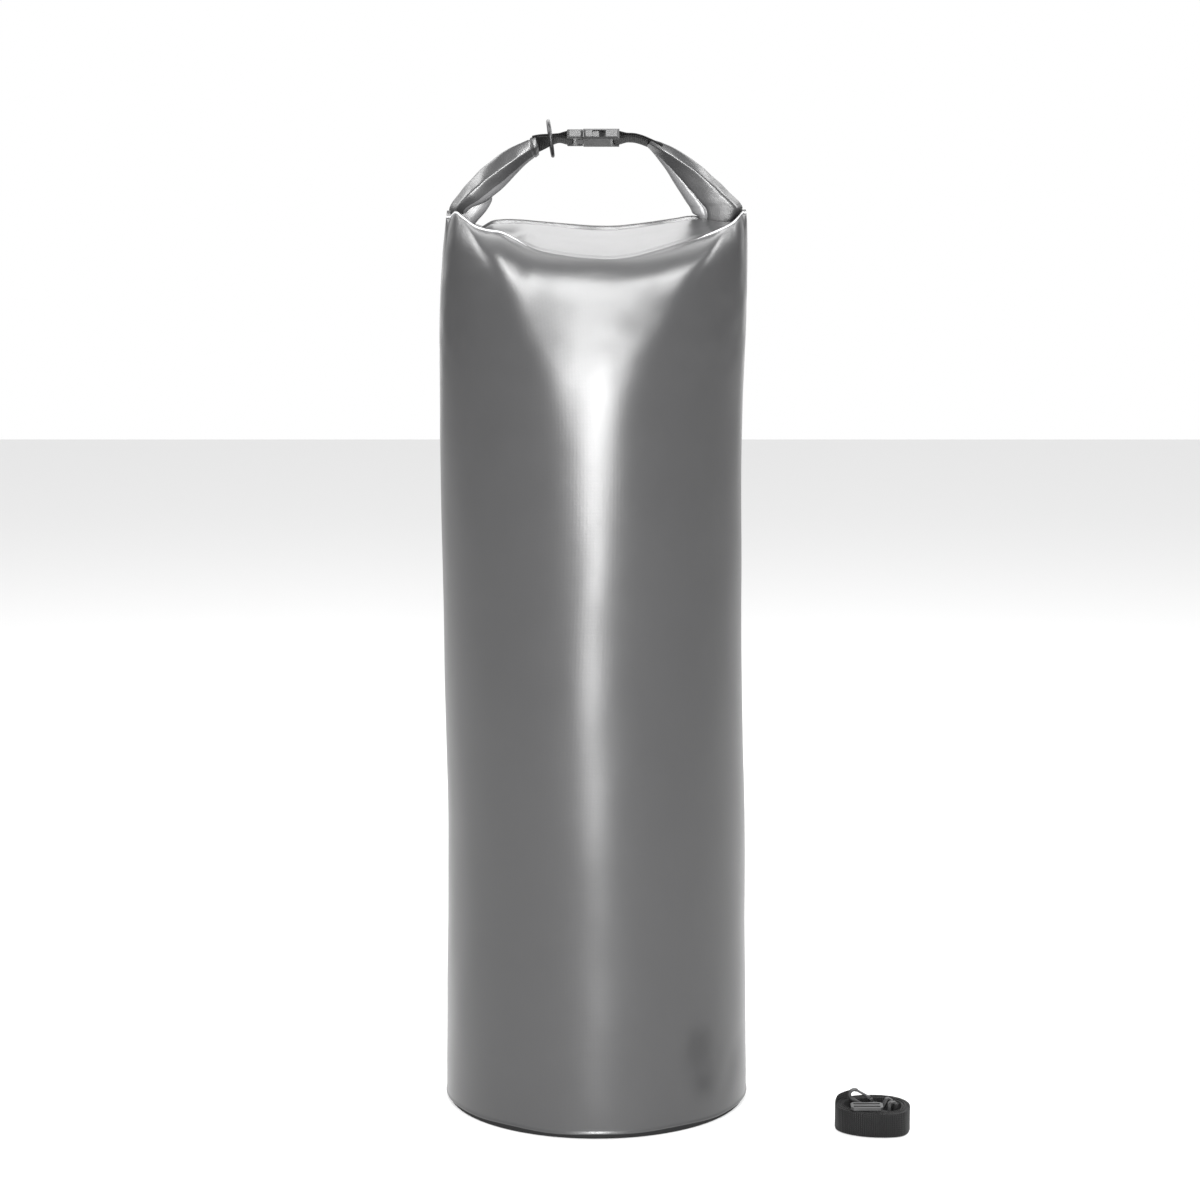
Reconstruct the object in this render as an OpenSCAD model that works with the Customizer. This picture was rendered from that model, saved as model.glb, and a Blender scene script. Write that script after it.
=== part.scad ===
// Roll-top dry bag for rope, with its loose shoulder strap rolled up beside it.
// A welded tube of coated fabric stands on a round base. Its flattened mouth is rolled down, and
// the two ends of the roll are bent up and clipped together, which makes the carrying loop.
// Millimetres. +Z is up, -Y is the front, and the origin is the centre of the base on the floor.

/* [Bag] */
// Outer diameter of the filled sleeve
bag_d = 296; // [260:1:320]
// How far the welded base pushes the sleeve out, on the radius
base_flare = 2; // [0:0.5:3]
// Height of the shoulders, where the arms of the carrying loop leave the bag
shoulder_z = 884; // [820:1:1000]
// Height over which the round sleeve gathers into the flat mouth
gather_h = 104; // [90:1:120]
// Thickness of the coated fabric
fabric_t = 1; // [0.8:0.1:1.2]

/* [Rolled mouth] */
// Length of the roll between the two shoulder folds
roll_len = 200; // [180:1:204]
// Height of the roll
roll_h = 25; // [23:1:27]
// Thickness of the roll
roll_w = 12.4; // [12:0.2:13]
// Turns of fabric in the roll
roll_turns = 2.5; // [2:0.5:2.5]

/* [Webbing and rings] */
// Width of the webbing
web_w = 25; // [23:0.5:25.5]
// Thickness of one layer of webbing
web_t = 1.7; // [1.4:0.1:1.8]
// Outer diameter of the round ring on the closing strap
ring_d = 37; // [36:0.5:40]
// Wire diameter of the ring
ring_wire = 3.6; // [3:0.2:3.8]
// Lean of the round ring at rest, in degrees
ring_lean = 8; // [0:1:10]
// Radius of the D-ring's bow
d_ring_r = 15.5; // [14.5:0.5:16.5]
// Wire diameter of the D-ring
d_wire = 4; // [3:0.2:4]

/* [Buckle] */
// Width of the side-release buckle
buckle_w = 33; // [32:0.5:34]
// Thickness of the socket
buckle_t = 10; // [9.6:0.2:11]
// Roll of the buckle about its length, front edge up, in degrees
buckle_roll = 16; // [0:1:20]

/* [Shoulder strap] */
// Length of the rolled strap, left to right
coil_l = 74; // [72:1:80]
// Depth of the rolled strap
coil_w = 63; // [60:1:66]
// Radial thickness of the wound layers
coil_wall = 10; // [8:0.5:10]
// Centre of the rolled strap to the right of the bag
strap_x = 268; // [240:1:320]
// Centre of the rolled strap in front of the bag
strap_y = -115; // [-140:1:0]

/* [Hidden] */
$fn = 64;

FABRIC = "gray";
BLACK = [0.12, 0.12, 0.13];
STEEL = [0.22, 0.22, 0.23];

bag_r = bag_d / 2;
gather_z = shoulder_z - gather_h;
mouth_z = shoulder_z - 44;        // top of the gathered fabric, under the middle of the roll

// Height up the sleeve and share of the base flare there
SLEEVE = [[0, 0.1], [6, 0.8], [20, 1], [60, 0.8], [150, 0.3], [300, 0], [gather_z, 0]];

// A round loft: one point of a ring of n, ellipse half-sizes a and b
function oval(a, b, t) = [a * cos(t), b * sin(t)];
function unit(v) = v / norm(v);
function soft(c, e) = sign(c) * pow(abs(c), e);

// Faces of a tube skinned over rings of m points, open at both ends
function tube_faces(rings, m) = [for (i = [0:rings - 2]) for (j = [0:m - 1])
    each let (k = (j + 1) % m, a = i * m + j, b = i * m + k, c = (i + 1) * m + k, d = (i + 1) * m + j)
    [[a, d, c], [a, c, b]]];
// Faces of a flat cap over one ring, first is the index of its first point
function cap_faces(first, m, up) = [for (j = [1:m - 2])
    up ? [first, first + j + 1, first + j] : [first, first + j, first + j + 1]];

// A flattened band that follows pairs of edge points, with rounded edges
SIDES = 16;
module band(edges, thick) {
    last = len(edges) - 1;
    points = [for (i = [0:last]) each let (
        mid = (edges[i][0] + edges[i][1]) / 2,
        half = (edges[i][0] - edges[i][1]) / 2,
        below = edges[max(i - 1, 0)],
        above = edges[min(i + 1, last)],
        run = (above[0] + above[1] - below[0] - below[1]) / 2,
        face = unit(cross(half, run)) * thick[i] / 2)
        [for (j = [0:SIDES - 1]) let (t = 360 * j / SIDES)
            mid + half * soft(cos(t), 0.8) + face * soft(sin(t), 0.6)]];
    faces = concat(tube_faces(last + 1, SIDES), cap_faces(0, SIDES, false),
        cap_faces(last * SIDES, SIDES, true));
    polyhedron(points, faces, convexity = 4);
}

// Outer profile of the sleeve between two heights, as points of radius and height
function sleeve_r(z) = bag_r + base_flare * lookup(z, SLEEVE);
function sleeve_line(low, high, out) = concat([[sleeve_r(low) + out, low]],
    [for (p = SLEEVE) if (p[0] > low && p[0] < high) [sleeve_r(p[0]) + out, p[0]]],
    [[sleeve_r(high) + out, high]]);
function flipped(list) = [for (i = [len(list) - 1:-1:0]) list[i]];

// A strip welded on the back of the sleeve, wide degrees across
module back_strip(low, high, inner, outer, wide) {
    rotate([0, 0, 90 - wide / 2])
        rotate_extrude(angle = wide)
            polygon(concat(sleeve_line(low, high, outer), flipped(sleeve_line(low, high, inner))));
}

module sleeve() {
    color(FABRIC)
        rotate_extrude()
            polygon(concat(sleeve_line(0, gather_z, 0), flipped(sleeve_line(0, gather_z, -fabric_t))));
}

// The same tube of fabric, drawn in from a circle to the flat mouth under the roll. Its rim
// rises from the middle to the two shoulders.
TOP_SIDES = 48;
TOP_RINGS = 9;
top_a = bag_r - 7;
top_b = 7;
module gathered_top() {
    rise = mouth_z - gather_z;
    peak = shoulder_z - 6 - mouth_z;
    function ring(s, inset) = [for (j = [0:TOP_SIDES - 1]) let (t = 360 * j / TOP_SIDES,
        flat = sqrt(1 - s * s),
        p = oval(top_a + (bag_r - top_a) * flat - inset, top_b + (bag_r - top_b) * flat - inset, t))
        [p[0], p[1], gather_z + s * (rise + peak * pow(abs(cos(t)), 8) - inset)]];
    steps = [for (i = [0:TOP_RINGS - 1]) sin(90 * i / (TOP_RINGS - 1))];
    outer = [for (s = steps) each ring(s, 0)];
    inner = [for (s = steps) each ring(s, fabric_t)];
    n = TOP_RINGS * TOP_SIDES;
    top = (TOP_RINGS - 1) * TOP_SIDES;
    function lid(first, up) = [for (j = [0:TOP_SIDES / 2 - 1]) each let (
        a = first + j, b = first + j + 1,
        c = first + TOP_SIDES - j - 1, d = first + (TOP_SIDES - j) % TOP_SIDES)
        [if (b != c) up ? [a, c, b] : [a, b, c],
        if (a != d) up ? [a, d, c] : [a, c, d]]];
    inward = [for (f = tube_faces(TOP_RINGS, TOP_SIDES)) [n + f[0], n + f[2], n + f[1]]];
    rim = [for (j = [0:TOP_SIDES - 1]) each let (k = (j + 1) % TOP_SIDES)
        [[j, k, n + k], [j, n + k, n + j]]];
    color(FABRIC)
        polyhedron(concat(outer, inner),
            concat(tube_faces(TOP_RINGS, TOP_SIDES), lid(top, true), inward, lid(n + top, false), rim),
            convexity = 6);
}

module base_panel() {
    color(FABRIC)
        cylinder(r = sleeve_r(0) - fabric_t - 0.1, h = 1.2);
}

// L-shaped tape that seals the base to the sleeve from inside
module base_seam_tape() {
    wall = sleeve_r(0) - fabric_t - 0.15;
    color(FABRIC)
        rotate_extrude()
            polygon([[wall - 20, 1.2], [wall, 1.2], [wall, 24], [wall - 0.8, 24], [wall - 0.8, 2],
                [wall - 20, 2]]);
}

module back_seam_tape() {
    color(FABRIC)
        back_strip(116, gather_z - 4, 0, 0.8, 10);
}

// Flattened spiral of fabric, seen along the roll
module roll_section() {
    pitch = 1.6;
    steps = 28 * roll_turns;
    function turn(i, inset) = let (t = 360 * roll_turns * i / steps, s = pitch * t / 360 + inset)
        [(roll_w / 2 - s) * cos(t), (roll_h / 2 - s) * sin(t)];
    polygon(concat([for (i = [0:steps]) turn(i, 0)], [for (i = [steps:-1:0]) turn(i, fabric_t)]));
}

module rolled_mouth() {
    color(FABRIC)
        translate([-roll_len / 2, 0, mouth_z + 2.5 + roll_h / 2])
            rotate([90, 0, 90])
                linear_extrude(roll_len)
                    roll_section();
}

module mouth_stiffener() {
    color(BLACK)
        translate([-roll_len / 2 + 2, -0.5, mouth_z + 2.5 + roll_h / 2 - 6])
            cube([roll_len - 4, 1, 12]);
}

// Edges of the roll where it turns up out of the bag: outer edge, then inner edge. Heights are
// from the shoulder.
FOLD_R = [[[101, 0, -40], [101, 0, -17.5]], [[116, 0, -33], [99, 0, -13]],
    [[131, 0, -17.5], [97.5, 0, -7]], [[142, 0, -0.5], [96, 0, -0.5]]];
FOLD_L = [[[-101, 0, -40], [-101, 0, -17.5]], [[-116, 0, -33], [-104, 0, -13]],
    [[-131, 0, -17.5], [-109, 0, -6]], [[-141, 0, -0.5], [-113, 0, -0.5]]];
// The arms go on upwards and twist until they lie flat at the buckle
ARM_R = [[[142, 0, 2], [96, 0, 2]], [[131, -2.5, 13], [89, 2.5, 9]], [[115, -5, 27], [79, 5, 20]],
    [[96, -8, 42], [68, 8, 31]], [[74, -11, 55], [57, 11, 46]], [[51, -12.8, 64], [46, 12.8, 58]]];
ARM_L = [[[-141, 0, 2], [-113, 0, 2]], [[-132, -2, 13], [-101, 2, 4]],
    [[-115, -4.5, 28.5], [-92, 4.5, 10]], [[-93, -7, 46.5], [-78, 7, 24]],
    [[-72, -10, 58.5], [-63, 10, 40]], [[-58, -11.6, 64.5], [-53, 11.6, 50]]];
FOLD_T = [12, 11, 10, 9];
ARM_T = [9, 9, 8.5, 8, 7, 6];

module band_at_shoulder(edges, thick) {
    color(FABRIC)
        translate([0, 0, shoulder_z])
            band(edges, thick);
}

module left_shoulder_fold() {
    mirror([0, 1, 0])
        band_at_shoulder(FOLD_L, FOLD_T);
}

module right_shoulder_fold() {
    band_at_shoulder(FOLD_R, FOLD_T);
}

module left_arm() {
    band_at_shoulder(ARM_L, ARM_T);
}

module right_arm() {
    band_at_shoulder(ARM_R, ARM_T);
}

// Lower anchor on the back: a welded patch, a sewn webbing loop and a D-ring that swings in it
d_z = 78;
d_y = sleeve_r(d_z) + 7.5;
loop_in = d_wire / 2 + 0.3;
module lower_patch() {
    color(FABRIC)
        back_strip(40, 112, 0.05, 0.95, 26);
}

module lower_web_loop() {
    tab_y = sleeve_r(d_z) + 1;
    color(BLACK)
        rotate([90, 0, 90])
            translate([0, 0, -web_w / 2])
                linear_extrude(web_w)
                    difference() {
                        union() {
                            translate([d_y, d_z])
                                circle(r = loop_in + web_t);
                            translate([tab_y, d_z])
                                square([d_y - tab_y + 1, 26]);
                        }
                        translate([d_y, d_z])
                            circle(r = loop_in);
                        translate([d_y + 1, d_z + loop_in + web_t])
                            square(40);
                    }
}

module lower_d_ring() {
    r = d_wire / 2;
    color(STEEL)
        translate([0, d_y, d_z]) {
            translate([-d_ring_r, 0, 0])
                rotate([0, 90, 0])
                    cylinder(r = r, h = 2 * d_ring_r);
            for (side = [-1, 1])
                translate([side * d_ring_r, 0, 0])
                    sphere(r = r);
            rotate([90, 180, 0])
                rotate_extrude(angle = 180)
                    translate([d_ring_r, 0])
                        circle(r = r);
        }
}

// Side-release buckle. Its own frame has X from plug to socket, Y across and Z through.
buckle_at = [-3, 0, shoulder_z + 66];
bar_out = 22.6;      // centre of the socket's webbing bar
bar_in = -22.9;      // centre of the plug's webbing bar
bar_r = 2;
mouth_x = -9.5;      // mouth of the socket
root = [-12.3, 10.2];
prong_h = 5.6;

module in_buckle() {
    translate(buckle_at)
        rotate([-buckle_roll, 0, 0])
            children();
}

// A plate with chamfered corners, centred on Z
module plate(x0, x1, wide, high, bevel) {
    w = wide / 2;
    translate([0, 0, -high / 2])
        linear_extrude(high)
            polygon([[x0 + bevel, -w], [x1 - bevel, -w], [x1, -w + bevel], [x1, w - bevel],
                [x1 - bevel, w], [x0 + bevel, w], [x0, w - bevel], [x0, -w + bevel]]);
}

module cross_bar(x, r) {
    translate([x, -buckle_w / 2 + 2, 0])
        rotate([-90, 0, 0])
            cylinder(r = r, h = buckle_w - 4);
}

module buckle_socket() {
    wall = 1.8;
    color(BLACK)
        in_buckle() {
            difference() {
                union() {
                    intersection() {
                        plate(mouth_x, 25, buckle_w, buckle_t, 2.4);
                        rotate([0, 90, 0])
                            translate([0, 0, mouth_x])
                                plate_end();
                    }
                    for (side = [-1, 1])
                        translate([0, 0, side * (buckle_t / 2 - 0.1)])
                            grip_ribs(side);
                }
                translate([mouth_x - 1, -buckle_w / 2 + wall, -3.2])
                    cube([24.7, buckle_w - 2 * wall, 6.4]);
                translate([-1, -buckle_w, -3.2])
                    cube([13, 2 * buckle_w, 6.4]);
                translate([16, -web_w / 2 - 0.5, -buckle_t])
                    cube([20, web_w + 1, 2 * buckle_t]);
            }
            cross_bar(bar_out, bar_r);
        }
}

// End view of the socket with chamfered long edges, as a prism along its length
module plate_end() {
    w = buckle_w / 2;
    t = buckle_t / 2;
    linear_extrude(40)
        polygon([[-t, -w + 2], [-t + 2, -w], [t - 2, -w], [t, -w + 2], [t, w - 2], [t - 2, w],
            [-t + 2, w], [-t, w - 2]]);
}

module grip_ribs(side) {
    for (x = [-7, -4.5])
        translate([x, -9, side > 0 ? 0 : -0.5])
            cube([1.2, 18, 0.5]);
}

module buckle_plug() {
    color(BLACK)
        in_buckle() {
            difference() {
                intersection() {
                    plate(-25, mouth_x - 0.3, buckle_w, 8.4, 2.4);
                    rotate([0, 90, 0])
                        translate([0, 0, -26])
                            plate_end();
                }
                translate([-35.5, -web_w / 2 - 0.5, -buckle_t])
                    cube([19.5, web_w + 1, 2 * buckle_t]);
                for (side = [-1, 1])
                    translate([root[0], side * root[1], -buckle_t]) {
                        cylinder(r = 2.4, h = 2 * buckle_t);
                        translate([0, -2.4, 0])
                            cube([10, 4.8, 2 * buckle_t]);
                    }
            }
            cross_bar(bar_in, bar_r);
            translate([mouth_x - 2, 0, 0])
                guide_tongue();
        }
}

module guide_tongue() {
    translate([0, 0, -2.6])
        linear_extrude(5.2)
            polygon([[0, -2.8], [17, -2.8], [21, -1.4], [21, 1.4], [17, 2.8], [0, 2.8]]);
}

// One sprung prong: a round root, a slim arm and a head that stands in the side window.
// The prong of the front half is the mirror image of the back one.
module prong(front) {
    color(BLACK)
        in_buckle()
            mirror([0, front ? 1 : 0, 0])
                translate([0, 0, -prong_h / 2])
                    linear_extrude(prong_h) {
                        translate(root)
                            circle(r = 2);
                        polygon([[-12.3, 8.6], [-0.4, 9.4], [9.6, 9.6], [9.8, 11], [5.5, 14.4],
                            [-0.4, 14.4], [-0.4, 12.2], [-12.3, 11.8]]);
                    }
}

module prong_front() {
    prong(true);
}

module prong_back() {
    prong(false);
}

// Half circle round a bar, on the side away from the tail
function half_round(bar, way, r) = [for (t = [90:12:270]) [bar + way * r * cos(t), r * sin(t)]];

// Doubled webbing round a buckle bar, drawn in the buckle's XZ plane and run across its width.
// tail is the middle line of the two layers after they meet.
module web_loop(bar, way, tail) {
    in = bar_r + 0.3;
    meet = tail[0];
    outline = concat(half_round(bar, way, in + web_t),
        [for (p = tail) [p[0], p[1] - web_t]],
        [for (p = flipped(tail)) [p[0], p[1] + web_t]]);
    color(BLACK)
        in_buckle()
            rotate([90, 0, 0])
                translate([0, 0, -web_w / 2])
                    linear_extrude(web_w)
                        difference() {
                            polygon(outline);
                            polygon(concat(half_round(bar, way, in), [[meet[0] - 3 * way, meet[1]]]));
                        }
}

module right_webbing() {
    web_loop(bar_out, 1, [[38, 0], [43, -1.2], [49.5, -4]]);
}

module left_webbing() {
    web_loop(bar_in, -1, [[-32, 0], [-38, -1.6], [-51, -8]]);
}

// Round ring round the left webbing
ring_at = [-44, -0.8, shoulder_z + 65.4];
module top_ring() {
    color(STEEL)
        translate(ring_at)
            rotate([-buckle_roll, 0, 0])
                rotate([0, 90 - ring_lean, 0])
                    rotate_extrude()
                        translate([(ring_d - ring_wire) / 2, 0])
                            circle(d = ring_wire);
}

// Rolled shoulder strap, standing on its edge
module coil_outline(shrink) {
    r = coil_w / 2 - shrink;
    straight = coil_l - coil_w;
    for (side = [-1, 1])
        translate([side * straight / 2, 0])
            circle(r = r);
    square([straight, 2 * r], center = true);
}

module strap_webbing() {
    color(BLACK)
        translate([strap_x, strap_y, 0])
            linear_extrude(web_w)
                difference() {
                    coil_outline(0);
                    coil_outline(coil_wall);
                }
}

// Three-bar slider lying on the front of the roll
module strap_slider() {
    long = web_w + 6;
    color(BLACK)
        translate([strap_x - 7, strap_y - 14, web_w + 0.3])
            difference() {
                translate([0, 0, 1.5])
                    plate(-long / 2, long / 2, 17, 3, 2.5);
                for (y = [-6.2, 2])
                    translate([-web_w / 2 - 0.3, y, -1])
                        cube([web_w + 0.6, 4.2, 6]);
            }
}

// Swivel snap hooks. Each has its own frame: Z along the swivel axis, X across the webbing.
base_w = 28;
hook_r = 4.9;
hook_wire = 1.7;
hook_low = 14;
hook_high = 28;
gate_pin = [hook_r, 14.8];
HOOK_A = [strap_x + 7, strap_y + 9, 17.4, -60];
HOOK_B = [strap_x + 14, strap_y - 5, 15, -90];

module at_hook(place) {
    translate([place[0], place[1], place[2]])
        rotate([0, place[3], 0])
            children();
}

module hook_end_loop(place) {
    color(BLACK)
        at_hook(place)
            translate([-web_w / 2, 0, 0])
                rotate([90, 0, 90])
                    linear_extrude(web_w)
                        difference() {
                            translate([-4.3, -10.8])
                                square([8.6, 5.9]);
                            translate([-2.65, -9.1])
                                square([5.3, 2.5]);
                        }
}

module hook_swivel_base(place) {
    color(BLACK)
        at_hook(place)
            difference() {
                union() {
                    rotate([0, 90, 90])
                        plate(0, 9, base_w, 5, 2);
                    cylinder(r = 4.4, h = 6);
                }
                translate([-web_w / 2 - 0.3, -5, -6.7])
                    cube([web_w + 0.6, 10, 4]);
                translate([0, 0, 1])
                    cylinder(r = 3.1, h = 2.2);
                cylinder(r = 2.1, h = 7);
            }
}

module hook_body(place) {
    color(BLACK)
        at_hook(place) {
            translate([0, 0, 1.2])
                cylinder(r = 2, h = 7);
            translate([0, 0, 1.2])
                cylinder(r = 2.9, h = 1.8);
            translate([0, 0, 6.3])
                cylinder(r = 3.4, h = 2.2);
            translate([-hook_r, 0, hook_low])
                cylinder(r = hook_wire, h = hook_high - hook_low);
            translate([0, 0, hook_high])
                rotate([90, 0, 0])
                    rotate_extrude(angle = 180)
                        translate([hook_r, 0])
                            circle(r = hook_wire);
            translate([0, 0, hook_low])
                rotate([90, 180, 0])
                    rotate_extrude(angle = 156)
                        translate([hook_r, 0])
                            circle(r = hook_wire);
        }
}

module hook_gate(place) {
    color(STEEL)
        at_hook(place) {
            translate([gate_pin[0], 1.6, gate_pin[1]])
                rotate([90, 0, 0])
                    cylinder(r = 1.5, h = 3.2);
            translate([gate_pin[0], 0, gate_pin[1]])
                cylinder(r = 1.2, h = hook_high - gate_pin[1] - 0.4);
        }
}

module hook_a_end_loop() {
    hook_end_loop(HOOK_A);
}

module hook_a_swivel_base() {
    hook_swivel_base(HOOK_A);
}

module hook_a_body() {
    hook_body(HOOK_A);
}

module hook_a_gate() {
    hook_gate(HOOK_A);
}

module hook_b_end_loop() {
    hook_end_loop(HOOK_B);
}

module hook_b_swivel_base() {
    hook_swivel_base(HOOK_B);
}

module hook_b_body() {
    hook_body(HOOK_B);
}

module hook_b_gate() {
    hook_gate(HOOK_B);
}

sleeve();
gathered_top();
base_panel();
base_seam_tape();
back_seam_tape();
rolled_mouth();
mouth_stiffener();
left_shoulder_fold();
right_shoulder_fold();
lower_patch();
lower_web_loop();
lower_d_ring();
left_arm();
right_arm();
left_webbing();
right_webbing();
buckle_socket();
buckle_plug();
prong_front();
prong_back();
top_ring();
strap_webbing();
strap_slider();
hook_a_end_loop();
hook_a_swivel_base();
hook_a_body();
hook_a_gate();
hook_b_end_loop();
hook_b_swivel_base();
hook_b_body();
hook_b_gate();
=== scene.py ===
"""Roll-top dry bag for rope, with its rolled shoulder strap beside it, on a pale studio floor.

Shapes are worked out in millimetres and turned into metres as each mesh is made. -Y is the front.
"""
import math

import bpy
import numpy as np
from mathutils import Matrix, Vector, noise
from mathutils.bvhtree import BVHTree


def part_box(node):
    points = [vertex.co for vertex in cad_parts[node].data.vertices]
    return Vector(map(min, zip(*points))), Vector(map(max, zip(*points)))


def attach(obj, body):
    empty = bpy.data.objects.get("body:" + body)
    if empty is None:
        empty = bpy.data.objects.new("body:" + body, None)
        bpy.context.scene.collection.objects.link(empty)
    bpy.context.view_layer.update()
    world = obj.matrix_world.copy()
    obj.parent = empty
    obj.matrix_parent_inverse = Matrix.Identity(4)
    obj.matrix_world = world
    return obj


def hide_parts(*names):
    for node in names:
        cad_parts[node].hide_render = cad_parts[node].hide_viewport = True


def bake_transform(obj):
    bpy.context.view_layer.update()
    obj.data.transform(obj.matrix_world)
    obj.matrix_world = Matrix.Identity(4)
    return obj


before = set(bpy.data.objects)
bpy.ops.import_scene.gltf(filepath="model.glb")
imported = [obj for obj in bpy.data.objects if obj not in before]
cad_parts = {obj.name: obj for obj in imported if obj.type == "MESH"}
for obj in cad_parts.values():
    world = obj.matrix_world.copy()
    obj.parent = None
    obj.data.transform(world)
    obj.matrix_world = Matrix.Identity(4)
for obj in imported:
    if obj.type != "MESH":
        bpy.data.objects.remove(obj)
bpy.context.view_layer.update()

MM = 0.001
FRONT = -1
BACK = 1


def box_mm(node):
    """Lowest and highest corners of a CAD node, in millimetres."""
    low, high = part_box(node)
    return np.array(low) / MM, np.array(high) / MM


bag_r = box_mm("gathered_top")[1][0]
shoulder_z = box_mm("right_shoulder_fold")[1][2] + 0.5
web_w = box_mm("lower_web_loop")[1][0] - box_mm("lower_web_loop")[0][0]


# ---------------------------------------------------------------- numbers and curves


def table(x, rows, column=1):
    """Smooth value at x from rows of (x, value, ...), level outside them."""
    rows = np.array(rows, float)
    xs, ys = rows[:, 0], rows[:, column]
    slope = np.gradient(ys, xs)
    x = np.clip(x, xs[0], xs[-1])
    i = np.clip(np.searchsorted(xs, x) - 1, 0, len(xs) - 2)
    step = xs[i + 1] - xs[i]
    t = (x - xs[i]) / step
    rise = (2 * t**3 - 3 * t**2 + 1) * ys[i] + (3 * t**2 - 2 * t**3) * ys[i + 1]
    return rise + step * ((t**3 - 2 * t**2 + t) * slope[i] + (t**3 - t**2) * slope[i + 1])


def smoothstep(x, low, high):
    """0 below low and 1 above high, with a smooth rise between them."""
    t = np.clip((x - low) / (high - low), 0, 1)
    return t * t * (3 - 2 * t)


def cut_corners(points, times):
    """Round off a run of points along the first axis, keeping its ends."""
    for _ in range(times):
        near = 0.75 * points[:-1] + 0.25 * points[1:]
        far = 0.25 * points[:-1] + 0.75 * points[1:]
        inner = np.stack([near, far], axis=1).reshape(-1, *points.shape[1:])
        points = np.concatenate([points[:1], inner, points[-1:]])
    return points


def along(points, count):
    """count points evenly spaced along a polyline."""
    points = np.array(points, float)
    walked = np.concatenate([[0], np.cumsum(np.linalg.norm(np.diff(points, axis=0), axis=1))])
    at = np.linspace(0, walked[-1], count)
    return np.stack([np.interp(at, walked, points[:, k]) for k in range(points.shape[1])], axis=1)


def ripple(points, size, height, seed):
    """Smooth noise for each point: size is the width of a bump and height is its height."""
    shift = Vector((seed * 7.3, seed * 3.1, seed * 5.7))
    flat = points.reshape(-1, 3)
    values = [noise.noise(Vector(p) / size + shift) for p in flat]
    return height * np.array(values).reshape(points.shape[:-1])


# ---------------------------------------------------------------- meshes


def grid_faces(rows, columns, closed):
    """Four-cornered faces between neighbouring rows. closed joins each row's last point to its first."""
    faces = []
    for i in range(rows - 1):
        for j in range(columns if closed else columns - 1):
            here = i * columns + j
            beside = i * columns + (j + 1) % columns
            faces.append((here, beside, beside + columns, here + columns))
    return faces


def add_mesh(name, points, faces, material):
    """A smooth-shaded piece from points in millimetres."""
    mesh = bpy.data.meshes.new(name)
    mesh.from_pydata([tuple(p) for p in np.asarray(points) * MM], [], faces)
    mesh.update()
    piece = bpy.data.objects.new(name, mesh)
    bpy.context.collection.objects.link(piece)
    mesh.materials.append(material)
    mesh.shade_smooth()
    return piece


def grid_mesh(name, points, material, closed=False, caps=False):
    """A surface over rows and columns of points. Its UV map is in metres along the surface."""
    rows, columns = points.shape[:2]
    faces = grid_faces(rows, columns, closed)
    if caps:
        faces.append(tuple(range(columns))[::-1])
        faces.append(tuple((rows - 1) * columns + j for j in range(columns)))
    piece = add_mesh(name, points.reshape(-1, 3), faces, material)
    across = np.concatenate([points, points[:, :1]], axis=1) if closed else points
    u = np.cumsum(np.linalg.norm(np.diff(across, axis=1), axis=2).mean(axis=0))
    u = np.concatenate([[0], u])
    v = np.concatenate([[0], np.cumsum(np.linalg.norm(np.diff(points, axis=0), axis=2).mean(axis=1))])
    layer = piece.data.uv_layers.new(name="metres")
    for face in piece.data.polygons:
        corners = [(i // columns, i % columns) for i in face.vertices]
        wraps = closed and any(c == columns - 1 for _, c in corners)
        for loop, (row, column) in zip(face.loop_indices, corners):
            column = columns if wraps and column == 0 else column
            layer.data[loop].uv = (u[column] * MM, v[row] * MM)
    return piece


# ---------------------------------------------------------------- materials


# Blender's band texture repeats every 2 pi / 20 of its own units
WAVE_UNIT = 20
# Blue of each grey against its red and green
COOL = 1.02


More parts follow.
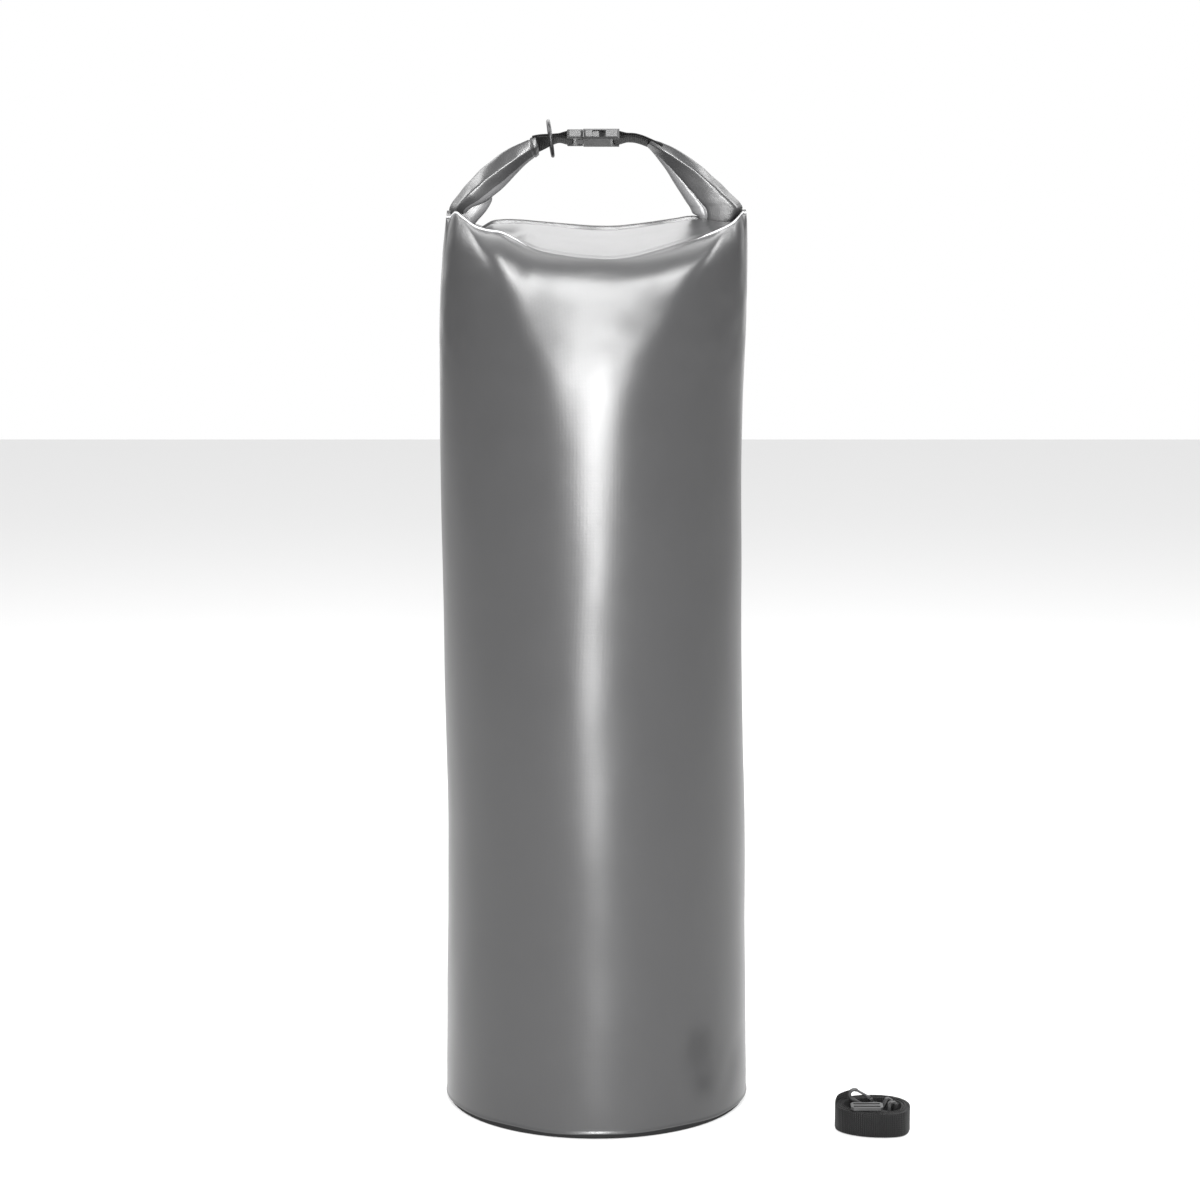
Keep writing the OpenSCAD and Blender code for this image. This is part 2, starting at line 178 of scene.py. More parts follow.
class Nodes:
    """Short calls for building one material's nodes."""

    def __init__(self, name):
        self.material = bpy.data.materials.new(name)
        self.material.use_nodes = True
        self.tree = self.material.node_tree
        self.shader = self.tree.nodes["Principled BSDF"]

    def add(self, kind, **settings):
        node = self.tree.nodes.new(kind)
        for key, value in settings.items():
            setattr(node, key, value)
        return node

    def link(self, a, b):
        self.tree.links.new(a, b)

    def place(self, uv):
        """Where a point is: along the surface in metres, or in the piece's own space."""
        node = self.add("ShaderNodeTexCoord")
        return node.outputs["UV" if uv else "Object"]

    def scaled(self, source, scale):
        node = self.add("ShaderNodeMapping")
        node.inputs["Scale"].default_value = scale
        self.link(source, node.inputs["Vector"])
        return node.outputs["Vector"]

    def noise(self, source, scale, detail=3.0, rough=0.5):
        node = self.add("ShaderNodeTexNoise")
        node.inputs["Scale"].default_value = scale
        node.inputs["Detail"].default_value = detail
        node.inputs["Roughness"].default_value = rough
        self.link(source, node.inputs["Vector"])
        return node.outputs["Fac"]

    def bands(self, source, period, direction, distortion=0.0):
        """Bands that repeat every period metres."""
        node = self.add("ShaderNodeTexWave", wave_type="BANDS", bands_direction=direction)
        node.inputs["Scale"].default_value = 2 * math.pi / WAVE_UNIT / period
        node.inputs["Distortion"].default_value = distortion
        self.link(source, node.inputs["Vector"])
        return node.outputs["Fac"]

    def math(self, operation, a, b):
        node = self.add("ShaderNodeMath", operation=operation)
        for socket, value in zip(node.inputs, (a, b)):
            if isinstance(value, (int, float)):
                socket.default_value = value
            else:
                self.link(value, socket)
        return node.outputs["Value"]

    def spread(self, source, low, high, start=0.0, end=1.0):
        """Map source from start..end to low..high."""
        node = self.add("ShaderNodeMapRange")
        for key, value in (("From Min", start), ("From Max", end), ("To Min", low), ("To Max", high)):
            node.inputs[key].default_value = value
        self.link(source, node.inputs["Value"])
        return node.outputs["Result"]

    def colours(self, source, stops, blue=COOL):
        """A ramp of greys from stops of (place, tone)."""
        node = self.add("ShaderNodeValToRGB")
        ramp = node.color_ramp
        while len(ramp.elements) < len(stops):
            ramp.elements.new(0.5)
        for element, (place, grey) in zip(ramp.elements, stops):
            element.position = place
            element.color = (grey, grey, grey * blue, 1)
        self.link(source, node.inputs["Fac"])
        return node.outputs["Color"]

    def bump(self, source, distance, strength, below=None):
        node = self.add("ShaderNodeBump")
        node.inputs["Distance"].default_value = distance
        node.inputs["Strength"].default_value = strength
        self.link(source, node.inputs["Height"])
        if below is not None:
            self.link(below, node.inputs["Normal"])
        return node.outputs["Normal"]

    def finish(self, colour, rough, normal, **fixed):
        """Join the parts to the shader. fixed gives its other inputs, with _ for a space."""
        self.link(colour, self.shader.inputs["Base Color"])
        self.link(rough, self.shader.inputs["Roughness"])
        self.link(normal, self.shader.inputs["Normal"])
        for name, value in fixed.items():
            self.shader.inputs[name.replace("_", " ")].default_value = value
        return self.material


# Spacing of the scrim's threads, in metres
THREAD = 0.0013


def coated_fabric(name="coated_fabric", tone=0.032, rough_low=0.27, gloss=0.5):
    """Tarpaulin: a woven scrim that shows faintly through a satin plastic coat."""
    n = Nodes(name)
    flat = n.place(uv=True)
    room = n.place(uv=False)
    weave = n.math("MULTIPLY", n.bands(flat, THREAD, "X"), n.bands(flat, THREAD, "Y"))
    grain = n.noise(room, 420.0, 3.0)
    cloud = n.noise(room, 6.0, 4.0, 0.6)
    dust = n.noise(room, 40.0, 5.0, 0.7)
    shade = n.math("ADD", n.spread(cloud, -0.1, 0.1), n.spread(dust, 0.42, 0.58))
    colour = n.colours(shade, [(0.3, tone * 0.88), (0.5, tone), (0.7, tone * 1.12)])
    rough = n.math("ADD", n.spread(dust, rough_low, rough_low + 0.06), n.spread(cloud, -0.02, 0.02))
    fine = n.bump(weave, 0.00012, 0.22)
    normal = n.bump(grain, 0.00012, 0.2, fine)
    return n.finish(colour, rough, normal, IOR=1.5, Specular_IOR_Level=gloss)


# Webbing: spacing of its ribs and of its yarns in metres, and how light it is
RIB = 0.0021
YARN = 0.0011
WEB_TONE = 0.0035


def webbing():
    """Black woven strap: ribs across it, a twill of fine yarns and matt fuzz."""
    n = Nodes("webbing")
    flat = n.place(uv=True)
    rib = n.bands(flat, RIB, "X", 0.5)
    yarn = n.bands(flat, YARN, "DIAGONAL", 0.4)
    fuzz = n.noise(flat, 1500.0, 3.0)
    cloth = n.math("ADD", n.math("MULTIPLY", rib, 0.7), n.math("MULTIPLY", yarn, 0.3))
    shade = n.math("ADD", n.math("MULTIPLY", cloth, 0.6), n.math("MULTIPLY", fuzz, 0.4))
    colour = n.colours(shade, [(0.2, WEB_TONE * 0.5), (0.55, WEB_TONE), (0.9, WEB_TONE * 2.2)])
    rough = n.spread(fuzz, 0.45, 0.62)
    normal = n.bump(fuzz, 0.0001, 0.3, n.bump(cloth, 0.0007, 0.8))
    return n.finish(colour, rough, normal, Sheen_Weight=0.02, Sheen_Roughness=0.5, Specular_IOR_Level=0.16)


def moulded_plastic(name, tone, rough_low, rough_high):
    """Moulded nylon with a fine spark texture and a few pale rubs."""
    n = Nodes(name)
    room = n.place(uv=False)
    spark = n.noise(room, 700.0, 2.0)
    rub = n.noise(room, 140.0, 4.0, 0.65)
    colour = n.colours(rub, [(0.3, tone * 0.85), (0.62, tone), (0.75, tone * 1.5)])
    rough = n.spread(rub, rough_low, rough_high)
    normal = n.bump(spark, 0.00002, 0.06)
    return n.finish(colour, rough, normal, IOR=1.5)


def metal(name, tone, rough_low, rough_high, metallic):
    """Metal with fine draw lines and small scratches."""
    n = Nodes(name)
    room = n.place(uv=False)
    lines = n.noise(n.scaled(room, (300.0, 2500.0, 2500.0)), 1.0, 3.0)
    wear = n.noise(room, 220.0, 4.0, 0.6)
    colour = n.colours(wear, [(0.3, tone * 0.8), (0.6, tone), (0.8, tone * 1.4)])
    rough = n.spread(wear, rough_low, rough_high)
    normal = n.bump(lines, 0.00003, 0.1)
    return n.finish(colour, rough, normal, Metallic=metallic)


FLOOR_GLOW = 0.5


def floor_paper():
    """Seamless pale paper that glows a little. It is white round the bag and greys off far behind it."""
    n = Nodes("floor_paper")
    fibre = n.noise(n.place(uv=False), 400.0, 3.0)
    return n.finish(
        n.colours(fibre, [(0.0, 0.29), (1.0, 0.31)], blue=1),
        n.spread(fibre, 0.8, 0.9),
        n.bump(fibre, 0.00005, 0.1),
        Emission_Color=(1, 1, 1, 1),
        Emission_Strength=FLOOR_GLOW,
    )


# ---------------------------------------------------------------- studio


CAMERA_PLACE = (0.0035, -3.1, 1.0)
CAMERA_TILT = 9.143


def add_camera():
    """The photograph's view: about 3 m away and 1 m up, looking slightly down."""
    data = bpy.data.cameras.new("camera")
    data.lens = 96
    data.sensor_width = 36
    camera = bpy.data.objects.new("camera", data)
    camera.location = CAMERA_PLACE
    camera.rotation_euler = (math.radians(90 - CAMERA_TILT), 0, 0)
    bpy.context.collection.objects.link(camera)
    bpy.context.scene.camera = camera


def add_softbox(name, place, target, size, power):
    """A rectangular light that points at target and is not seen itself."""
    data = bpy.data.lights.new(name, "AREA")
    data.shape = "RECTANGLE"
    data.size, data.size_y = size
    data.energy = power
    light = bpy.data.objects.new(name, data)
    light.location = place
    light.rotation_euler = (Vector(target) - Vector(place)).to_track_quat("-Z", "Y").to_euler()
    light.visible_camera = False
    bpy.context.collection.objects.link(light)


# Strength of the surroundings: in front and at the sides, straight behind, and overhead from low to high
WALL_GREY = 0.12
BACK_WHITE = 2.2
SKY_LOW = 1.3
SKY_HIGH = 2.5


def add_world():
    """White behind and above the bag, darker in front and at the sides."""
    world = bpy.data.worlds.new("studio")
    bpy.context.scene.world = world
    world.use_nodes = True
    tree = world.node_tree
    for node in list(tree.nodes):
        tree.nodes.remove(node)
    out = tree.nodes.new("ShaderNodeOutputWorld")
    seen = tree.nodes.new("ShaderNodeBackground")
    seen.inputs["Color"].default_value = (1, 1, 1, 1)
    seen.inputs["Strength"].default_value = 1.0
    lit = tree.nodes.new("ShaderNodeBackground")
    place = tree.nodes.new("ShaderNodeTexCoord")
    split = tree.nodes.new("ShaderNodeSeparateXYZ")
    tree.links.new(place.outputs["Generated"], split.inputs["Vector"])

    def ramp(axis, low, high, dark, bright):
        node = tree.nodes.new("ShaderNodeMapRange")
        node.interpolation_type = "SMOOTHSTEP"
        for key, value in (("From Min", low), ("From Max", high), ("To Min", dark), ("To Max", bright)):
            node.inputs[key].default_value = value
        tree.links.new(split.outputs[axis], node.inputs["Value"])
        return node.outputs["Result"]

    def combine(operation, a, b):
        node = tree.nodes.new("ShaderNodeMath")
        node.operation = operation
        tree.links.new(a, node.inputs[0])
        tree.links.new(b, node.inputs[1])
        return node.outputs["Value"]

    wall = ramp("Y", 0.84, 0.97, WALL_GREY, BACK_WHITE)
    above = combine("MULTIPLY", ramp("Z", 0.1, 0.3, 0.0, 1.0), ramp("Z", 0.35, 0.75, SKY_LOW, SKY_HIGH))
    sky = combine("MULTIPLY", above, ramp("Y", -0.05, 0.5, 0.0, 1.0))
    tree.links.new(combine("MAXIMUM", wall, sky), lit.inputs["Strength"])
    path = tree.nodes.new("ShaderNodeLightPath")
    choose = tree.nodes.new("ShaderNodeMixShader")
    tree.links.new(path.outputs["Is Camera Ray"], choose.inputs["Fac"])
    tree.links.new(lit.outputs["Background"], choose.inputs[1])
    tree.links.new(seen.outputs["Background"], choose.inputs[2])
    tree.links.new(choose.outputs["Shader"], out.inputs["Surface"])


# Half the floor's width, in millimetres
FLOOR_HALF = 6000


def add_floor():
    """Pale paper under the bag. It is staging and not part of the object."""
    half = FLOOR_HALF
    corners = [(-half, -half, 0), (half, -half, 0), (half, half, 0), (-half, half, 0)]
    floor = add_mesh("floor", corners, [(0, 1, 2, 3)], floor_paper())


def add_studio():
    bpy.context.scene.view_settings.view_transform = "Standard"
    add_camera()
    add_world()
    add_softbox("low_strip", (0.0, -3.6, 0.8), (0, 0, 0.7), (0.42, 1.6), 190)
    add_softbox("high_strip", (0.0, -1.9, 2.75), (0, 0, 0.85), (0.42, 3.3), 190)
    add_softbox("top_back", (0.0, 1.6, 2.6), (0, 0, 0.87), (4.4, 1.6), 72)
    for side in (-1, 1):
        add_softbox("side_high", (side * 2.1, 0.16, 2.2), (0, 0, 0.92), (1.2, 1.2), 62)
    add_floor()


# ---------------------------------------------------------------- the bag's outer shell

# Radius of the filled sleeve at each height, and how far it leans to the side there
RADIUS = [
    (0, 149.8), (20, 150), (90, 149.4), (190, 147.6), (290, 146.6), (590, 146.4), (690, 147.2),
    (780, 148.2), (830, 147.4), (865, 145.5), (884, 143.5),
]
LEAN = [
    (0, 0), (250, 0), (360, -1.6), (440, -3.1), (580, -4.8), (700, -4.8), (780, -3.4), (870, 0),
]
# Crest of the front: across, forward and height from the shoulder
CREST_FRONT = [
    (-144, -10, -8), (-138, -36, -3), (-130, -52, -7), (-117, -64, -14.5), (-105, -68, -18),
    (-91, -71, -20), (-75, -76, -27), (-59, -81, -34.9), (-31, -89, -41), (0, -93, -44),
    (15, -93, -44.5), (32, -90, -43), (57, -81, -37.3), (86, -73, -29), (100, -69, -25),
    (119, -62, -18), (131, -50, -13), (140, -31, -7), (144, -10, -4),
]
# Where the front meets the top of the roll or drops into a shoulder pocket
EDGE_FRONT = [
    (-144, 0, -12), (-138, -4, -16), (-130, -8, -28), (-117, -8, -30), (-111, -6.5, -22),
    (-104, -6.6, -16), (-95, -6.6, -15), (-75, -6.8, -14.5), (-56, -6.8, -15.5), (0, -6.8, -20.5),
    (18, -6.8, -20.5), (43, -6.8, -18), (74, -6.8, -13.5), (92, -6.8, -11), (103, -8, -10.5),
    (121, -14, -13), (131, -14, -13.5), (140, -8, -10), (144, 0, -5),
]
CREST_BACK = [
    (-144, 4, -3), (-130, 24, -12), (-105, 47, -22), (-75, 68, -32), (-40, 86, -42), (0, 95, -47),
    (40, 87, -43), (75, 70, -33), (105, 48, -23), (130, 26, -12), (144, 4, -2),
]
EDGE_BACK = [
    (-144, 0, -6), (-130, 9, -22), (-110, 9, -26), (0, 8, -31), (100, 9, -24), (130, 12, -18),
    (144, 0, -5),
]
# The front on the middle line: height from the crest, depth in front of the axis, and how far this point
# follows the crest back and up at either side
FRONT_LINE = [
    (-270, 156, 0, 0), (-220, 150.5, 0, 0), (-180, 148.4, 0, 0), (-150, 146.8, 0, 0),
    (-125, 144.8, 0, 0.04), (-104, 142.3, 0, 0.12), (-84, 139.0, 0, 0.25), (-66, 135.2, 0.02, 0.42),
    (-51, 131.6, 0.05, 0.58), (-38, 127.4, 0.09, 0.70), (-28, 122.6, 0.14, 0.80),
    (-20.5, 117.4, 0.22, 0.87), (-14, 111.6, 0.35, 0.92), (-8.5, 105.8, 0.53, 0.96),
    (-4, 99.8, 0.74, 0.99),
]
# How fast the front's flat planes curve back, per square millimetre across
PLANE_BOW = 0.0009
# How far a flat plane rounds off into the round wall
FLAT_BLEND = 2.6
# Width of the rounded crest, and of the lip that takes its place beside a shoulder pocket
CREST_WIDTH = 9.0
LIP_WIDTH = 4.5
BACK_LIP = 0.5
# Dip in the top behind the left lip
POCKET_DIP = 8.0
# Height where the plain wall ends and the drawn-in top begins
WALL_TOP = 520.0
WALL_HEIGHTS = np.concatenate([[12, 18, 26], np.linspace(36, WALL_TOP - 10, 48)])
# Bumps in the wall: width, height and seed. They are drawn out upwards.
BUMPS = [(95.0, 1.1, 1), (38.0, 0.35, 2)]
BUMP_SQUEEZE = 0.55
TOP_CREASES = (34.0, 0.4, 5)
# Low on the right of the front, a hollow and a slanting crease beside it: place and size across and up
HOLLOW = ((104, 68), (34.0, 22.0))
HOLLOW_DEPTH = 3.0
CREASE = ((132, 46), (8.0, 26.0))
CREASE_DEPTH = 1.0
CREASE_SLANT = 0.35
CREASE_PIVOT = 50


def wall_radius(z):
    return table(z, RADIUS)


def dip(x, z, place, size):
    """1 in the middle of a rounded hollow, fading to 0 around it."""
    return np.exp(-(((x - place[0]) / size[0]) ** 2) - ((z - place[1]) / size[1]) ** 2)


def dents(x, y, z):
    """How far the filled wall stands out from a true cylinder."""
    points = np.stack([x, y, z * BUMP_SQUEEZE], axis=-1)
    out = sum(ripple(points, *bump) for bump in BUMPS)
    hollow = dip(x, z, *HOLLOW)
    crease = dip(x - (z - CREASE_PIVOT) * CREASE_SLANT, z, *CREASE)
    front = np.where(y < 0, 1.0, 0.0)
    return out - front * (HOLLOW_DEPTH * hollow + CREASE_DEPTH * crease)


# The weld at the base: height, and how far it stands out from the wall there
BASE_ROWS = [
    (0.4, -3.4), (1.2, -2.4), (2.6, -1.8), (4.0, -1.2), (4.7, 0.4), (5.6, 0.7), (6.6, 0.1), (8.6, 0.0),
]
# Its lip rises unevenly, from nothing at the first height to all of it this much higher
WELD_LOW = 0.9
WELD_RISE = 2.7


def base_points(angle):
    """The weld round the base: a small lip that stands out over a step, which the shell paints near-black as
    painted shade.
    """
    wave = 0.8 * np.sin(5 * angle + 0.6) + 0.5 * np.sin(11 * angle)
    rows = []
    for z, out in BASE_ROWS:
        r = wall_radius(z) + out
        lift = np.clip(z - WELD_LOW, 0, WELD_RISE) / WELD_RISE * (0.9 + wave * 0.8)
        rows.append(np.stack([r * np.cos(angle), r * np.sin(angle), z + lift], axis=-1))
    return np.array(rows)


def wall_points(angle, heights):
    """The filled wall. Its dents fade out towards the weld."""
    rows = []
    for z in heights:
        level = np.full_like(angle, z)
        r = wall_radius(z)
        r = r + smoothstep(z, 8, 40) * dents(r * np.cos(angle), r * np.sin(angle), level)
        rows.append(np.stack([r * np.cos(angle) + table(z, LEAN), r * np.sin(angle), level], axis=-1))
    return np.array(rows)


def lean_x(x, z):
    """Sideways place of a point on the upper part, which follows the wall's radius and lean."""
    return x / bag_r * wall_radius(z) + table(z, LEAN)


def softer_min(a, b):
    """The smaller of two depths, rounded where they cross."""
    return -FLAT_BLEND * np.log(np.exp(-a / FLAT_BLEND) + np.exp(-b / FLAT_BLEND))


def edge_share(x):
    """1 where the front ends in a lip beside a shoulder pocket, and 0 where it runs into the roll. Beside a
    pocket the lip's faces get a pale painted highlight.
    """
    return np.maximum(smoothstep(-x, 66, 84), smoothstep(x, 96, 110))


def top_profile(x, depth, side):
    """Points from the wall over the crest to the roll, for each x across, on one side.

    depth is how deep the round sleeve is at each x. Each point is a depth and a height."""
    crest = CREST_FRONT if side == FRONT else CREST_BACK
    edge = EDGE_FRONT if side == FRONT else EDGE_BACK
    crest_y = np.minimum(np.abs(table(x, crest, 1)), 0.9 * depth)
    crest_z = shoulder_z + table(x, crest, 2)
    edge_y = np.minimum(np.abs(table(x, edge, 1)), 0.7 * depth)
    edge_z = shoulder_z + table(x, edge, 2)
    middle_z = shoulder_z + table(0.0, crest, 2)
    flat_at_crest = softer_min(depth, abs(table(0.0, crest, 1)) - PLANE_BOW * x**2)
    profile = [(depth, np.full_like(x, WALL_TOP))]
    for up, plane, back_share, up_share in FRONT_LINE:
        flat = softer_min(depth, plane - PLANE_BOW * x**2)
        pull = (flat_at_crest - crest_y) * back_share
        profile.append((flat - pull, middle_z + up + (crest_z - middle_z) * up_share))
    if side == FRONT:
        lip = edge_share(x)
        hollow = POCKET_DIP * smoothstep(-x, 62, 84) * (1 - smoothstep(-x, 112, 124))
    else:
        lip = BACK_LIP * smoothstep(np.abs(x), 80, 120)
        hollow = 0.0
    round_off = CREST_WIDTH * (1 - lip) + LIP_WIDTH * lip
    run = np.clip(crest_y - edge_y, 0.1, None)
    back = np.minimum(round_off, 0.3 * run)
    rise = (edge_z - crest_z) / run

    def deck(share, sag):
        """Point part of the way from the crest to the roll."""
        return crest_y - share * run, crest_z + rise * share * run - sag

    crown = back * (1 - lip)
    profile.append((crest_y + 0.3 * crown + lip, crest_z - 0.16 * crown - 1.6 * lip))
    profile.append((crest_y + 0.4 * lip, crest_z))
    past_crest = (rise * (1 - lip) + 0.2 * lip) * back - 0.08 * round_off * (1 - lip)
    profile.append((crest_y - back, crest_z + past_crest))
    profile.append((crest_y - back - 1.4, crest_z + rise * back - 0.5 * hollow - 0.08 * round_off))
    profile.append(deck(0.38, 1.0 * hollow + 0.8))
    profile.append(deck(0.62, 0.9 * hollow + 1.0))
    profile.append(deck(0.85, 0.3 * hollow + 0.2))
    profile.append((edge_y, edge_z))
    profile.append((edge_y * 0.8, edge_z - 2.5))
    profile.append((edge_y * 0.8, edge_z - 14))
    return np.array([np.stack(p) for p in profile])


# Keeps front and back apart where they meet at the sides
SIDE_GAP = 0.05


def top_points(angle):
    """The drawn-in top: front and back profiles side by side, rounded off, with dents and creases."""
    x = bag_r * np.cos(angle)
    depth = np.abs(bag_r * np.sin(angle)) + SIDE_GAP
    is_front = np.sin(angle) < 0
    chosen = np.where(is_front, top_profile(x, depth, FRONT), top_profile(x, depth, BACK))
    z = chosen[:, 1]
    y = np.where(is_front, FRONT, BACK) * chosen[:, 0] * np.minimum(wall_radius(z) / bag_r, 1.0)
    points = np.stack([lean_x(np.broadcast_to(x, z.shape), z), y, z], axis=-1)
    points = cut_corners(points, 3)
    near_top = smoothstep(points[..., 2], 700, 780)
    swell = dents(points[..., 0], points[..., 1], points[..., 2]) * (1 - 0.5 * near_top)
    swell += near_top * ripple(points * np.array([1, 1.6, 1.6]), *TOP_CREASES)
    outward = points[..., :2] / np.maximum(np.linalg.norm(points[..., :2], axis=-1), 40)[..., None]
    points[..., :2] += outward * swell[..., None]
    return points


# The pale strip on the lip beside the pockets, a painted highlight: its first row of the shell's points,
# counted back from the last, and its number of rows
PAINTED_HIGHLIGHT_FROM_END = 75
PAINTED_HIGHLIGHT_ROWS = 6
# Rows of the weld that get the near-black material: painted shade under its lip
PAINTED_SHADE_ROWS = 4
# The shell's material slots after its own fabric
PAINTED_HIGHLIGHT_SLOT = 1
PAINTED_SHADE_SLOT = 2
# Length of the tube from the base weld up to the roll, along the fabric, in metres
SHELL_COLUMNS = 384


def make_bag_shell(fabric, hem, painted_shade):
    """The whole tube of fabric, from the weld at the base up to the roll."""
    angle = 2 * math.pi * np.arange(SHELL_COLUMNS) / SHELL_COLUMNS
    points = np.concatenate([base_points(angle), wall_points(angle, WALL_HEIGHTS), top_points(angle)])
    shell = grid_mesh("bag_shell", points, fabric, closed=True)
    # hem is a pale material: a painted highlight on the lip beside each pocket
    shell.data.materials.append(hem)
    # The near-black material appended here is painted shade under the weld's lip
    shell.data.materials.append(painted_shade)
    first = points.shape[0] - PAINTED_HIGHLIGHT_FROM_END
    for face in shell.data.polygons:
        row, column = divmod(face.vertices[0], SHELL_COLUMNS)
        x = bag_r * math.cos(angle[column])
        # Faces along the lip beside each pocket take the pale material, as a painted highlight
        if math.sin(angle[column]) < 0 and first <= row < first + PAINTED_HIGHLIGHT_ROWS * edge_share(x):
            face.material_index = PAINTED_HIGHLIGHT_SLOT
        # The lowest weld rows take the near-black material, as painted shade
        if row < PAINTED_SHADE_ROWS:
            face.material_index = PAINTED_SHADE_SLOT
    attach(shell, "bag")
    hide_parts("sleeve", "gathered_top")
    return shell


# The base from its middle out: radius and height
BASE_RINGS = [(0.5, 1.6), (40, 1.5), (80, 1.2), (115, 0.8), (135, 0.4), (143, 0.3), (146.4, 0.3)]
BASE_COLUMNS = 128


def make_base(fabric):
    """Round base, drawn up a little in the middle, that ends inside the weld."""
    angle = 2 * math.pi * np.arange(BASE_COLUMNS) / BASE_COLUMNS
    points = [[(r * math.cos(a), r * math.sin(a), z) for a in angle] for r, z in BASE_RINGS[::-1]]
    base = grid_mesh("base", np.array(points), fabric, closed=True)
    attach(base, "bag")
    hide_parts("base_panel")


# ---------------------------------------------------------------- rolled mouth and arms

# Height of the top of the roll from the shoulder, across
ROLL_TOP = [
    (-118, -25), (-113, -20), (-107, -16), (-101, -12.5), (-92, -11), (-75, -11), (-56, -12.6),
    (-25, -15.3), (0, -17), (18, -17), (43, -14.5), (74, -10), (93, -7.5), (101, -8.5),
]
ROLL_FROM = -117
ROLL_TO = 100
# Its spiral: thickness of a layer, step from one turn to the next, number of turns and middle, front to back
ROLL_LAYER = 1.0
ROLL_PITCH = 1.6
ROLL_TURNS = 2.5
ROLL_Y = 0.3


def make_roll(fabric):
    """The mouth, rolled down two and a half turns: a flattened spiral run across the bag."""
    low, high = box_mm("rolled_mouth")
    half_y, half_z = (high[1] - low[1]) / 2, (high[2] - low[2]) / 2
    turn = np.linspace(0, 2 * math.pi * ROLL_TURNS, 110)
    shrink = ROLL_PITCH * turn / (2 * math.pi)
    outer = np.stack([(half_y - shrink) * np.cos(turn), (half_z - shrink) * np.sin(turn)], axis=1)
    shrink = shrink + ROLL_LAYER
    inner = np.stack([(half_y - shrink) * np.cos(turn), (half_z - shrink) * np.sin(turn)], axis=1)
    ring = np.concatenate([outer, inner[::-1]])
    rows = []
    for x in np.linspace(ROLL_FROM, ROLL_TO, 70):
        grow = (shoulder_z + table(x, ROLL_TOP) - low[2]) / (high[2] - low[2])
        sag = 0.5 * math.sin(x / 17.0) + 0.3 * math.sin(x / 7.0 + 1)
        z = low[2] + (ring[:, 1] + half_z) * grow
        rows.append(np.stack([np.full(len(ring), x), ring[:, 0] + sag + ROLL_Y, z], axis=1))
    roll = grid_mesh("mouth_roll", np.array(rows), fabric, closed=True, caps=True)
    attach(roll, "bag")
    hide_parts("rolled_mouth")


# Edges of each arm in order: outer edge x, y, z, inner edge x, y, z and thickness; z is from the shoulder
RIGHT_ARM = [
    (99, 2, -39, 97, 2, -10, 12), (116, 2, -33, 98, 2, -9, 13), (131, 1, -18, 96, 2, -8, 15),
    (140.5, 0, -4, 92, 2, -6, 17), (139.5, -1, 3, 89, 2, 0, 17), (129, -2.5, 13, 85, 2.5, 6, 16),
    (103, -6, 36, 71.6, 6, 27, 13.5), (80, -9, 51, 61, 8.5, 44, 10.5),
    (63, -11, 59, 54.5, 10.5, 53, 7.5), (52, -12.5, 63, 48.5, 12, 59, 4.8),
]
LEFT_BASE = [
    (-103, 3, -39, -103, 3, -16, 10), (-117, 3, -34, -106, 3, -19, 10),
    (-131, 3, -22, -113, 3, -20.5, 10), (-138.5, 2, -6, -119, 3, -20, 10), (-136, 2, 6, -108, 4, -6, 9),
    (-121, 1.5, 19, -100.4, 4, 6, 6.5), (-114, 1, 24, -102, 2, 13, 2.5),
]
LEFT_ARM = [
    (-142, 3, -11, -124, 4, -8, 8), (-141, 0, 0, -120, 0, -1, 12), (-131, -2, 15, -106, -0.5, 5, 15),
    (-113, -4, 33.5, -92, 3, 15.5, 15), (-89, -7, 50, -77.5, 7, 31, 12.5),
    (-71, -9.5, 59.6, -65, 9, 43, 9.5), (-57.5, -11, 65.6, -55.6, 9.5, 50, 6),
]
# Outline of the folded layers, from the inner edge round the front: share of half width, share of half
# thickness
FOLDED = [
    (-1, -0.5), (-0.98, 0), (-0.9, 0.4), (-0.76, 0.68), (-0.6, 0.8), (-0.47, 0.8), (-0.4, 0.72),
    (-0.3, 0.86), (0.1, 0.98), (0.55, 1.02), (0.72, 0.97), (0.8, 0.72), (0.9, 0.1), (1, -0.6),
    (0.85, -0.95), (0.3, -1), (-0.4, -1), (-0.88, -0.92),
]
RIDGED = [
    (-1, -0.5), (-0.97, 0.1), (-0.85, 0.5), (-0.6, 0.74), (-0.2, 0.88), (0.25, 1), (0.4, 0.98),
    (0.5, 0.8), (0.75, 0.1), (1, -0.7), (0.85, -1), (0.3, -1), (-0.4, -1), (-0.88, -0.92),
]
PLAIN_BAND = [
    (-1, -0.2), (-0.95, 0.4), (-0.7, 0.85), (0, 0.8), (0.6, 0.9), (0.95, 0.5), (1, 0), (0.95, -0.5),
    (0.6, -0.9), (0, -1), (-0.6, -0.9), (-0.95, -0.6),
]
# Swelling of the left arm's hem, as make_band uses it
ARM_HEM = 0.12
# Number of rows along each arm, and along the left arm's base
ARM_STEPS = 130
BASE_STEPS = 60
# Small bumps in the arms: width and height
ARM_BUMPS = (14.0, 0.7)
# The lining shows on this share of a section's points, counted round from the inner edge, and again past
# the last of these shares
RIGHT_LINING = 0.3
LEFT_LINING = 0.2
LINING_AGAIN = 0.9


def closed_curve(points):
    """Round the corners of a closed outline, twice over."""
    points = np.array(points, float)
    for _ in range(2):
        after = np.roll(points, -1, axis=0)
        points = np.stack([0.75 * points + 0.25 * after, 0.25 * points + 0.75 * after], axis=1).reshape(-1, 2)
    return points


